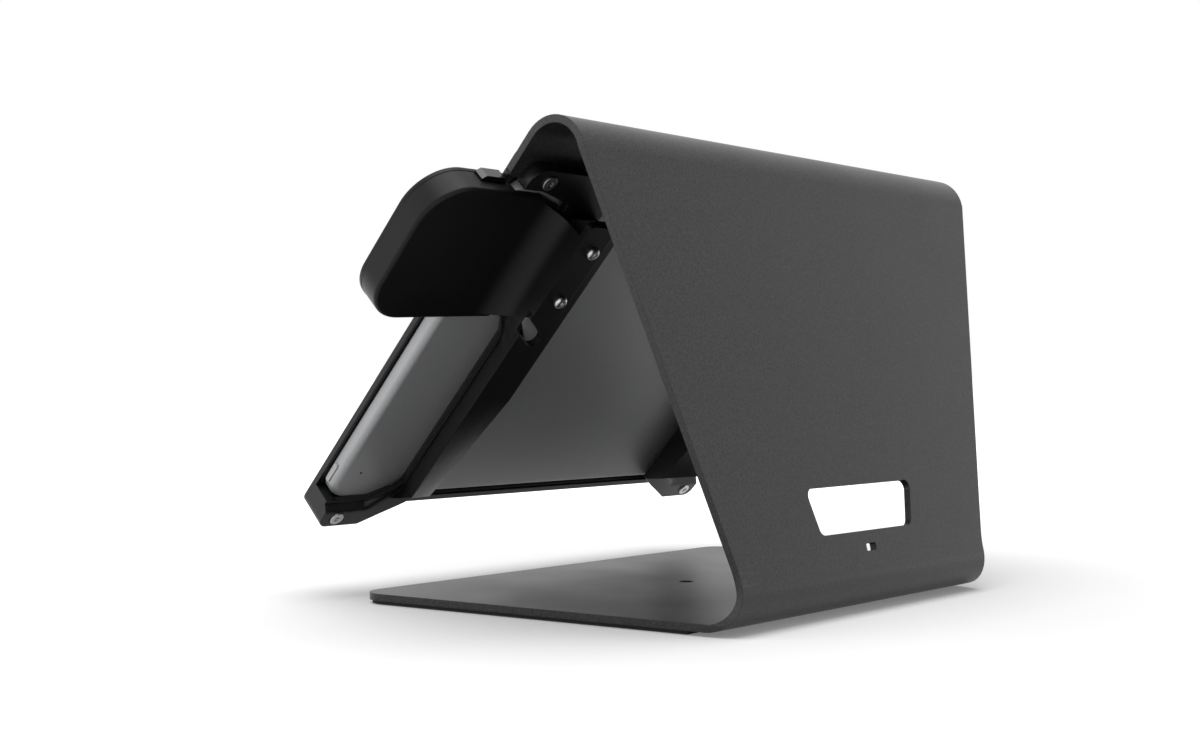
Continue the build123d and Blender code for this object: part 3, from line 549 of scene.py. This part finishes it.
def build_piece(name, stacks, place, material, body="stand", closed=False):
    """Mesh from stacks of rings. A closed stack is a hoop, an open one is capped at both ends."""
    shape = bmesh.new()
    for rings in stacks:
        loops = [[shape.verts.new(point) for point in ring] for ring in rings]
        count = len(loops[0])
        pairs = list(zip(loops, loops[1:])) + ([(loops[-1], loops[0])] if closed else [])
        for lower, upper in pairs:
            for i in range(count):
                j = (i + 1) % count
                shape.faces.new((lower[i], lower[j], upper[j], upper[i]))
        if not closed:
            shape.faces.new(loops[0][::-1])
            shape.faces.new(loops[-1])
    shape.transform(place)
    bmesh.ops.remove_doubles(shape, verts=shape.verts, dist=WELD)
    bmesh.ops.recalc_face_normals(shape, faces=shape.faces)
    if shape.calc_volume(signed=True) < 0:
        bmesh.ops.reverse_faces(shape, faces=shape.faces)
    return mesh_piece(name, shape, material, body)


def mesh_piece(name, shape, material, body):
    """Turns a finished shape into a piece that rides on its body, smooth but for real edges."""
    for face in shape.faces:
        face.smooth = True
    for edge in shape.edges:
        edge.smooth = edge.calc_face_angle(0.0) < SHARP_ANGLE
    mesh = bpy.data.meshes.new(name)
    shape.to_mesh(mesh)
    shape.free()
    mesh.materials.append(material)
    piece = bpy.data.objects.new(name, mesh)
    bpy.context.scene.collection.objects.link(piece)
    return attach(piece, body)


def ear_ring(level, inset):
    """Outline of the ear where it rests on the flap, with its large outer corner."""
    top, low, corner = EAR_TOP + inset, EAR_LOW - inset, EAR_CORNER - inset
    inner, outer = EAR_INNER + inset, EAR_OUTER - inset
    points = [Vector((inner, low, level)), Vector((inner, top, level))]
    for step in range(EAR_STEPS + 1):
        angle = -pi / 2 + step / EAR_STEPS * pi / 2
        x = outer - corner + corner * cos(angle)
        y = top + corner + corner * sin(angle)
        points.append(Vector((x, y, level)))
    return points + [Vector((outer, low, level))]


def rounded_slot(level, grow):
    """Outline of the slanted slot in the arm, cut off at the liner's side."""
    slant = Matrix.Rotation(SLOT_SLANT, 3, "Z")
    length, width = SLOT_LENGTH + 2 * grow, SLOT_WIDTH + 2 * grow
    points = [slant @ point for point in rounded_ring(length, width, SLOT_WIDTH / 2 + grow, 0.0)]
    return [
        Vector((min(point.x + SLOT_MIDDLE[0], LINER_SIDE), point.y + SLOT_MIDDLE[1], level))
        for point in points
    ]


def cut(shape, point, normal):
    """Splits the faces that a plane crosses, so that the shape can bend there."""
    bmesh.ops.bisect_plane(
        shape, geom=shape.verts[:] + shape.edges[:] + shape.faces[:],
        plane_co=point, plane_no=normal, dist=WELD,
    )


def half_width(run):
    """Half width of the sheet, with a smooth waist, by the run from the start of the bend."""
    bend = BEND_MEAN_R * BEND_TURN
    fall, rise = (WAIST_HALF - BASE_HALF) / bend, (CREST_HALF - WAIST_HALF) / PANEL_LENGTH
    past = run - bend
    if past <= -WAIST_BLEND:
        return BASE_HALF + fall * run
    if past >= WAIST_BLEND:
        return WAIST_HALF + rise * past
    blend = (rise - fall) * (past + WAIST_BLEND) ** 2 / (4 * WAIST_BLEND)
    return WAIST_HALF + fall * past + blend


def smooth_waist(shape):
    """Draws the kinked free edge between the bend and the panel into one even curve."""
    up = Vector((0.0, -sin(BEND_TURN - pi / 2), cos(BEND_TURN - pi / 2)))
    foot = Vector((0.0, *PANEL_FOOT)) * MM
    for step in range(WAIST_CUTS):
        cut(shape, foot + up * (step + 0.5) * MM, up)
    for vert in shape.verts:
        y, z = vert.co.y / MM - BEND_CENTRE[0], vert.co.z / MM - BEND_CENTRE[1]
        if abs(vert.co.x) < SHEET_CORE * MM or y < 0:
            continue
        past = (vert.co - foot).dot(up) / MM
        if past > 0 and z > 0:
            run = BEND_MEAN_R * BEND_TURN + past
        else:
            run = BEND_MEAN_R * min(BEND_TURN, atan2(y, -z))
        vert.co.x = half_width(run) * MM * (1 if vert.co.x > 0 else -1)


def shorten_pad(shape):
    """Ends the pad short of the bend, where the sheet lifts off the table."""
    for vert in shape.verts:
        if vert.co.y > PAD_REAR * MM:
            vert.co.y -= PAD_TRIM * MM
            vert.co.x += PAD_SPREAD * MM * (1 if vert.co.x > 0 else -1)


def limited(share):
    """The share, kept between none and all."""
    return min(1.0, max(0.0, share))


def eased(share):
    """The share, with a soft start and a soft end."""
    return share * share * (3 - 2 * share)


def lowered_foot(reach, down, level):
    """Runs the foot's upper edge down to the tablet's edge, so that its corner stays open."""
    if FOOT_TOP - FOOT_ABOVE < down < FOOT_TOP + FOOT_SPAN:
        outside = eased(limited((reach - MARGIN_REACH) / FOOT_FADE))
        above = 1.0 - max(0.0, (down - FOOT_TOP) / FOOT_SPAN)
        drop = FOOT_DROP + FOOT_DROP_LEAN * (min(level, FOOT_LEVEL) - SHELL_BACK)
        down += outside * above * drop
        level -= outside * above * FOOT_SINK * max(0.0, level - FOOT_LEVEL)
    return down, level


def leaned_reach(reach, down, level):
    """Distance of a point of the arm from the tablet's middle plane, once its wall leans in."""
    if reach >= HOLLOW_REACH:
        follow = 1.0
    elif level < SOLID_LEVEL and down > SOLID_FROM:
        # The solid end of the arm follows its wall, the hollow part keeps its inner faces.
        follow = max(0.0, (reach - SOLID_REACH) / (HOLLOW_REACH - SOLID_REACH))
    else:
        follow = 0.0
    start = limited((down - WALL_FROM) / (WALL_FULL - WALL_FROM))
    stop = limited((WALL_END - down) / (WALL_END - WALL_TO))
    share = follow * eased(start) * eased(stop)
    near = limited(1.0 - (reach - MARGIN_REACH) / MARGIN_FADE)
    reach -= share * near * MARGIN_PULL * max(0.0, min(reach, MARGIN_REACH) - ARM_FACE)
    return reach - share * near * WALL_LEAN * (RIDGE_LEVEL - level)


def lean_wall(shape):
    """Leans the outer wall of an arm, or the cushion under it, in over the tablet's back."""
    for down in WALL_CUTS:
        cut(shape, TABLET_MIDDLE + DOWN * down * MM, DOWN)
    for side in (-1, 1):
        for reach in FOOT_CUTS:
            cut(shape, (side * reach * MM, 0.0, 0.0), (1.0, 0.0, 0.0))
    into = TILTED.inverted()
    for vert in shape.verts:
        across, down, level = into @ vert.co
        reach = abs(across)
        down, level = lowered_foot(reach, down, level)
        if level <= RIDGE_LEVEL:
            reach = leaned_reach(reach, down, level)
            vert.co = TILTED @ Vector((reach if across > 0 else -reach, down, level))


def reshape_node(node, name, change, material):
    """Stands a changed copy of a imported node's mesh in its place."""
    shape = bmesh.new()
    shape.from_mesh(NODES[node].data)
    bmesh.ops.remove_doubles(shape, verts=shape.verts, dist=WELD)
    change(shape)
    piece = mesh_piece(name, shape, material, "stand")
    # Large flat faces keep flat shading where they run into a bend.
    even = piece.modifiers.new("even_shading", "WEIGHTED_NORMAL")
    even.keep_sharp, even.weight = True, 100
    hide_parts(node)


class KIOSK_OT_stand_sheet(bpy.types.Operator):
    """Stands the sheet with its smooth free edges and the shorter rubber pad under its base"""

    bl_idname = "kiosk.stand_sheet"
    bl_label = "Bent Sheet"

    def execute(self, context):
        look = context.scene.stand_finishes
        coating, rubber = powder_coated_steel(look), pressed_rubber(look)
        reshape_node("stand_sheet", "formed_sheet", smooth_waist, coating)
        reshape_node("base_pad", "pad_sheet", shorten_pad, rubber)
        return {"FINISHED"}


class KIOSK_OT_clamp_frame(bpy.types.Operator):
    """Coats the plate and its blocks, shapes the clamps and adds ear blocks, liners and seal"""

    bl_idname = "kiosk.clamp_frame"
    bl_label = "Clamp Frame"

    def execute(self, context):
        look = context.scene.stand_finishes
        satin, rubber = satin_coated_aluminium(look), pressed_rubber(look)
        bare = blasted_anodised_aluminium(look)
        coat(["front_plate"], satin)
        for piece in ("lug_block", "front_boss"):
            coat([piece + "_left", piece + "_right"], satin)
        for side, sign in (("right", 1), ("left", -1)):
            mirror = TILTED @ Matrix.Diagonal((sign, 1, 1, 1))
            rings = [ear_ring(3.02, 0.0), ear_ring(5.6, 0.0), ear_ring(5.79, 0.15)]
            block = build_piece("ear_block_" + side, [rings], mirror, satin)
            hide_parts("ear_spacer_" + side)
            reshape_node(
                "rear_clamp_" + side, "formed_clamp_" + side, lean_wall, satin
            )
            reshape_node(
                "clamp_pad_" + side, "clamp_cushion_" + side, lean_wall, rubber
            )
            liner = [rounded_slot(18.2, 0.0), rounded_slot(19.2, 0.0), rounded_slot(19.4, -0.2)]
            build_piece("slot_liner_" + side, [liner], mirror, bare)
        seal = [(0.0, -4.25), (0.0, 2.3), (-0.25, 2.55)]
        build_piece(
            "lip_seal", [profile_rings(SEAL_OUTLINE, seal, SEAL_MIDDLE, 4)], TILTED,
            foam_gasket(look),
        )
        return {"FINISHED"}


class KIOSK_OT_security_screws(bpy.types.Operator):
    """Finishes the screws and sets a lobed drive in each security screw"""

    bl_idname = "kiosk.security_screws"
    bl_label = "Security Screws"

    def execute(self, context):
        look, trim = context.scene.stand_finishes, context.scene.screw_trim
        bright = turned_steel("stainless_screw_steel", look.steel, (0.26, 0.36))
        # dull is the darker steel of the upper screws and their drives: painted shade of the nook
        # under the top bend.
        dull = turned_steel("upper_screw_steel_painted_shade", look.shaded_upper_steel, (0.34, 0.44))
        coat(["screw_lower_left", "screw_lower_right"], bright)
        coat(["flange_screw_upper", "flange_screw_lower"], bright)
        coat(["screw_upper_left", "screw_upper_right"], dull)
        radius, depth = trim.socket_radius / MM, trim.lobe_depth / MM
        # Radius, lobe and rise over the recess's floor of each ring, up the outside and back down.
        profile = (
            (DRIVE_RADIUS, 0.0, 0.02),
            (DRIVE_RADIUS, 0.0, 0.85),
            (DRIVE_RADIUS - 0.1, 0.0, 0.93),
            (radius + 0.12, depth, 0.93),
            (radius, depth, 0.8),
            (radius, depth, 0.02),
        )
        for x, side in ((-SCREW_ACROSS, "left"), (SCREW_ACROSS, "right")):
            # The upper drives take the darker steel, which is painted shade.
            for y, end, metal in ((-SCREW_DOWN, "upper", dull), (SCREW_DOWN, "lower", bright)):
                rings = [
                    lobed_ring(reach, lobe, trim.lobes, DRIVE_FLOOR + rise, (x, y))
                    for reach, lobe, rise in profile
                ]
                build_piece(
                    "screw_drive_{}_{}".format(end, side), [rings], TILTED, metal,
                    closed=True,
                )
        return {"FINISHED"}


class KIOSK_OT_card_reader(bpy.types.Operator):
    """Finishes the reader and its housing, and adds its slot lip and signal lights"""

    bl_idname = "kiosk.card_reader"
    bl_label = "Card Reader"

    def execute(self, context):
        look, trim = context.scene.stand_finishes, context.scene.reader_trim
        coat(["reader_shell", "reader_front"], moulded_abs(look))
        gloss = gloss_polycarbonate(look)
        coat(["card_reader"], gloss)
        out = -READER_FRONT
        lip = [
            (0.0, out), (0.0, out + 0.5), (-0.25, out + 0.7),
            (-0.6, out + 0.7), (-0.8, out + 0.5), (-0.8, out),
        ]
        outline = (trim.slot_length / MM, 3.4, 1.6)
        build_piece(
            "reader_slot_lip", [profile_rings(outline, lip, READER_WINDOW)], OUT_OF_FRONT,
            gloss, closed=True,
        )
        radius, pitch = trim.light_radius / MM, trim.light_pitch / MM
        dome = [(0.0, out), (0.0, out + 0.18), (-0.2, out + 0.34), (-0.45, out + 0.42)]
        steps = [i - (trim.lights - 1) / 2 for i in range(trim.lights)]
        places = [(READER_WINDOW[0] + step * pitch, READER_WINDOW[1] - 7.0) for step in steps]
        lights = [profile_rings(circle(radius), dome, place, 5) for place in places]
        build_piece("reader_signal_lights", lights, OUT_OF_FRONT, light_window())
        return {"FINISHED"}


class KIOSK_OT_tablet(bpy.types.Operator):
    """Finishes the tablet and adds its display, chamfer, gasket, camera and microphone"""

    bl_idname = "kiosk.tablet"
    bl_label = "Tablet"

    def execute(self, context):
        look, trim = context.scene.stand_finishes, context.scene.tablet_trim
        shell, glass = blasted_anodised_aluminium(look), cover_glass()
        chamfer = polished_chamfer(look)
        coat(["tablet_shell"], shell)
        coat(["tablet_glass"], glass)
        face = -GLASS_FRONT
        outline = (trim.display_length / MM, trim.display_width / MM, 1.0)
        sheet = [(0.0, face - 0.02), (0.0, face + 0.02), (-0.05, face + 0.04)]
        build_piece(
            "display_panel", [profile_rings(outline, sheet, steps=4)], OUT_OF_FRONT,
            sleeping_display(),
        )
        width = trim.gasket_width / MM
        strip = [
            (-0.05, face), (-0.05, face + 0.7), (-0.2, face + 0.85),
            (0.15 - width, face + 0.8), (-width, face),
        ]
        build_piece(
            "window_gasket", [profile_rings(WINDOW_OUTLINE, strip)], OUT_OF_FRONT,
            foam_gasket(look), closed=True,
        )
        cut_edge = [(-0.02, 3.31), (-0.12, 3.8), (-0.58, 4.22), (-0.66, 4.2), (-0.66, 3.31)]
        build_piece(
            "shell_chamfer", [profile_rings(TABLET_OUTLINE, cut_edge, steps=12)], OUT_OF_FRONT,
            chamfer, closed=True,
        )
        lens = circle(trim.lens_radius / MM)
        rim = [
            (0.9, face), (0.9, face + 0.12), (0.75, face + 0.22),
            (0.2, face + 0.22), (0.1, face + 0.1), (0.1, face),
        ]
        build_piece(
            "camera_rim", [profile_rings(lens, rim, CAMERA_PLACE, 10)], OUT_OF_FRONT,
            chamfer, closed=True,
        )
        dome = [(0.0, face), (0.0, face + 0.05), (-0.4, face + 0.13), (-0.9, face + 0.17)]
        build_piece(
            "camera_lens", [profile_rings(lens, dome, CAMERA_PLACE, 10)], OUT_OF_FRONT,
            glass,
        )
        # The microphone hole is a flat disc in painted shade.
        spot = [(0.0, SHELL_BACK), (0.0, SHELL_BACK + 0.03), (-0.12, SHELL_BACK + 0.05)]
        build_piece(
            "microphone_hole",
            [profile_rings(circle(MICROPHONE_RADIUS), spot, MICROPHONE_PLACE, 6)],
            TILTED, painted_hole_shade(),
        )
        return {"FINISHED"}


class KIOSK_OT_tablet_port(bpy.types.Operator):
    """Adds the collar and tongue of the charging port and the sound holes beside it"""

    bl_idname = "kiosk.tablet_port"
    bl_label = "Port and Sound Holes"

    def execute(self, context):
        look, trim = context.scene.stand_finishes, context.scene.tablet_trim
        collar = [(0.02, 0.0), (0.02, 0.05), (0.12, 0.08), (0.4, 0.06), (0.45, 0.0)]
        build_piece(
            "port_collar", [profile_rings(PORT_OUTLINE, collar)], OUT_OF_PORT_SIDE,
            polished_chamfer(look), closed=True,
        )
        tongue = [(0.0, -6.9), (0.0, -1.2), (-0.12, -1.0)]
        build_piece(
            "port_tongue", [profile_rings(TONGUE_OUTLINE, tongue)], OUT_OF_PORT_SIDE,
            plated_contact(),
        )
        hole, pitch = circle(trim.hole_radius / MM), trim.hole_pitch / MM
        # Each sound hole is a flat disc in painted shade.
        dot = [(0.0, 0.0), (0.0, 0.02), (-0.08, 0.035)]
        dots = [
            profile_rings(hole, dot, (side * (FIRST_SOUND_HOLE + i * pitch), row), 4)
            for side in (-1, 1)
            for row in SOUND_ROWS
            for i in range(trim.holes)
        ]
        build_piece("sound_holes", dots, OUT_OF_PORT_SIDE, painted_hole_shade())
        return {"FINISHED"}


class KIOSK_OT_keys(bpy.types.Operator):
    """Finishes the tablet's keys and rings its home key"""

    bl_idname = "kiosk.keys"
    bl_label = "Keys"

    def execute(self, context):
        look = context.scene.stand_finishes
        side_keys = ["power_button", "volume_up_button", "volume_down_button"]
        coat(side_keys, blasted_anodised_aluminium(look))
        coat(["home_button"], gloss_polycarbonate(look))
        out = -HOME_FRONT
        ring = [
            (0.0, out), (0.0, out + 0.04), (-0.1, out + 0.08),
            (-0.35, out + 0.08), (-0.45, out + 0.02), (-0.45, out),
        ]
        build_piece(
            "home_key_ring", [profile_rings(circle(HOME_RING_RADIUS), ring, HOME_KEY_PLACE, 12)],
            OUT_OF_FRONT, polished_chamfer(look), body="home_key", closed=True,
        )
        return {"FINISHED"}


class KIOSK_OT_studio(bpy.types.Operator):
    """Sets the pale floor, the soft lamps, the even sky and the camera"""

    bl_idname = "kiosk.studio"
    bl_label = "Studio"

    def execute(self, context):
        settings, scene = context.scene.studio_settings, context.scene
        floor_mesh = bpy.data.meshes.new("studio_floor")
        corners = [
            (x * FLOOR_REACH, y * FLOOR_REACH, 0.0) for x, y in ((-1, -1), (1, -1), (1, 1), (-1, 1))
        ]
        floor_mesh.from_pydata(corners, [], [(0, 1, 2, 3)])
        floor = bpy.data.objects.new("studio_floor", floor_mesh)
        scene.collection.objects.link(floor)
        # A hair below the pad, so that the two flat faces don't share one plane.
        floor.location.z = FLOOR_LEVEL
        floor_mesh.materials.append(studio_floor_finish(settings))
        side_turn = (radians(62), 0.0, radians(62))
        for name, power, size, place, turn in (
            ("top_softbox", settings.top_power, 1.4, (0.2, 0.1, 1.5), (0.0, 0.0, 0.0)),
            ("side_softbox", settings.side_power, 1.2, (1.3, -0.7, 0.7), side_turn),
        ):
            lamp_data = bpy.data.lights.new(name, "AREA")
            lamp_data.energy, lamp_data.size = power, size
            lamp = bpy.data.objects.new(name, lamp_data)
            lamp.location, lamp.rotation_euler = place, turn
            scene.collection.objects.link(lamp)
        scene.world = studio_sky(settings)
        camera_data = bpy.data.cameras.new("photo_camera")
        camera_data.lens, camera_data.sensor_width = settings.camera_lens, SENSOR_WIDTH
        camera = bpy.data.objects.new("photo_camera", camera_data)
        camera.location = settings.camera_place
        camera.rotation_euler = (radians(90), 0.0, settings.camera_turn)
        scene.collection.objects.link(camera)
        scene.camera = camera
        scene.view_settings.view_transform = "Standard"
        return {"FINISHED"}


def seen_rays(tree):
    """One for rays that show the backdrop: from the camera, in a reflection or through glass."""
    path = add(tree, "LightPath")
    first = add(
        tree, "Math", links={0: path.outputs["Is Camera Ray"], 1: path.outputs["Is Glossy Ray"]},
        operation="ADD",
    )
    both = add(
        tree, "Math",
        links={0: first.outputs["Value"], 1: path.outputs["Is Transmission Ray"]},
        operation="ADD", use_clamp=True,
    )
    return both.outputs["Value"]


def studio_floor_finish(settings):
    """Pale paper sweep: matt, with a faint fibre, and white in the camera past the shadow."""
    material = bpy.data.materials.new("paper_sweep")
    tree = empty_tree(material)
    place = add(tree, "TexCoord").outputs["Object"]
    # Fibres of the paper show as flecks near 1 mm wide.
    fibre = add(tree, "TexNoise", {"Scale": 900.0, "Detail": 2.0}, {"Vector": place})
    tone = add(
        tree, "Mix", {"A": shade(settings.floor, 0.985), "B": settings.floor},
        {"Factor": fibre.outputs["Fac"]}, data_type="RGBA",
    )
    # The paper is drawn whiter where it is seen than where it throws light back on the stand.
    seen = seen_rays(tree)
    paper_tone = add(
        tree, "Mix", {"B": (SEEN_PAPER, SEEN_PAPER, SEEN_PAPER, 1.0)},
        {"Factor": seen, "A": tone.outputs["Result"]}, data_type="RGBA",
    )
    paper = add(tree, "BsdfDiffuse", links={"Color": paper_tone.outputs["Result"]})
    away = add(tree, "VectorMath", links={0: place}, operation="LENGTH")
    lift = add(
        tree, "MapRange",
        {"From Min": GLOW_FROM, "From Max": GLOW_TO, "To Min": LEAST_GLOW, "To Max": 1.0},
        {"Value": away.outputs["Value"]}, interpolation_type="SMOOTHSTEP",
    )
    share = add(tree, "Math", links={0: lift.outputs["Result"], 1: seen}, operation="MULTIPLY")
    glow = add(
        tree, "Emission", {"Color": (1.0, 1.0, 1.0, 1.0)}, {"Strength": share.outputs["Value"]}
    )
    both = add(
        tree, "AddShader", links={0: paper.outputs["BSDF"], 1: glow.outputs["Emission"]}
    )
    add(tree, "OutputMaterial", links={"Surface": both.outputs["Shader"]})
    return material


def studio_sky(settings):
    """Even white room: full white where it is seen, softer where it lights."""
    world = bpy.data.worlds.new("studio_sky")
    tree = empty_tree(world)
    white = (1.0, 1.0, 1.0, 1.0)
    light = add(tree, "Background", {"Color": white, "Strength": settings.sky_strength})
    shown = add(tree, "Background", {"Color": white, "Strength": 1.0})
    mix = add(
        tree, "MixShader",
        links={0: seen_rays(tree), 1: light.outputs["Background"], 2: shown.outputs["Background"]},
    )
    add(tree, "OutputWorld", links={"Surface": mix.outputs["Shader"]})
    return world


OPERATORS = (
    KIOSK_OT_stand_sheet,
    KIOSK_OT_clamp_frame,
    KIOSK_OT_security_screws,
    KIOSK_OT_card_reader,
    KIOSK_OT_tablet,
    KIOSK_OT_tablet_port,
    KIOSK_OT_keys,
    KIOSK_OT_studio,
)
GROUPS = {
    "stand_finishes": StandFinishes,
    "tablet_trim": TabletTrim,
    "screw_trim": ScrewTrim,
    "reader_trim": ReaderTrim,
    "studio_settings": StudioSettings,
}


class KIOSK_PT_panel(bpy.types.Panel):
    """Lists the settings and the steps that dress the stand"""

    bl_label = "Tablet Security Stand"
    bl_space_type = "VIEW_3D"
    bl_region_type = "UI"
    bl_category = "Stand"

    def draw(self, context):
        for group, kind in GROUPS.items():
            box = self.layout.box()
            for name in kind.__annotations__:
                box.prop(getattr(context.scene, group), name)
        for operator in OPERATORS:
            self.layout.operator(operator.bl_idname)


def register():
    for kind in (*GROUPS.values(), *OPERATORS, KIOSK_PT_panel):
        bpy.utils.register_class(kind)
    for name, kind in GROUPS.items():
        setattr(bpy.types.Scene, name, PointerProperty(type=kind))


def unregister():
    for name in GROUPS:
        delattr(bpy.types.Scene, name)
    for kind in (KIOSK_PT_panel, *reversed(OPERATORS), *reversed(GROUPS.values())):
        bpy.utils.unregister_class(kind)


def main():
    register()
    bpy.ops.kiosk.stand_sheet()
    bpy.ops.kiosk.clamp_frame()
    bpy.ops.kiosk.security_screws()
    bpy.ops.kiosk.card_reader()
    bpy.ops.kiosk.tablet()
    bpy.ops.kiosk.tablet_port()
    bpy.ops.kiosk.keys()
    bpy.ops.kiosk.studio()


if __name__ == "__main__":
    main()
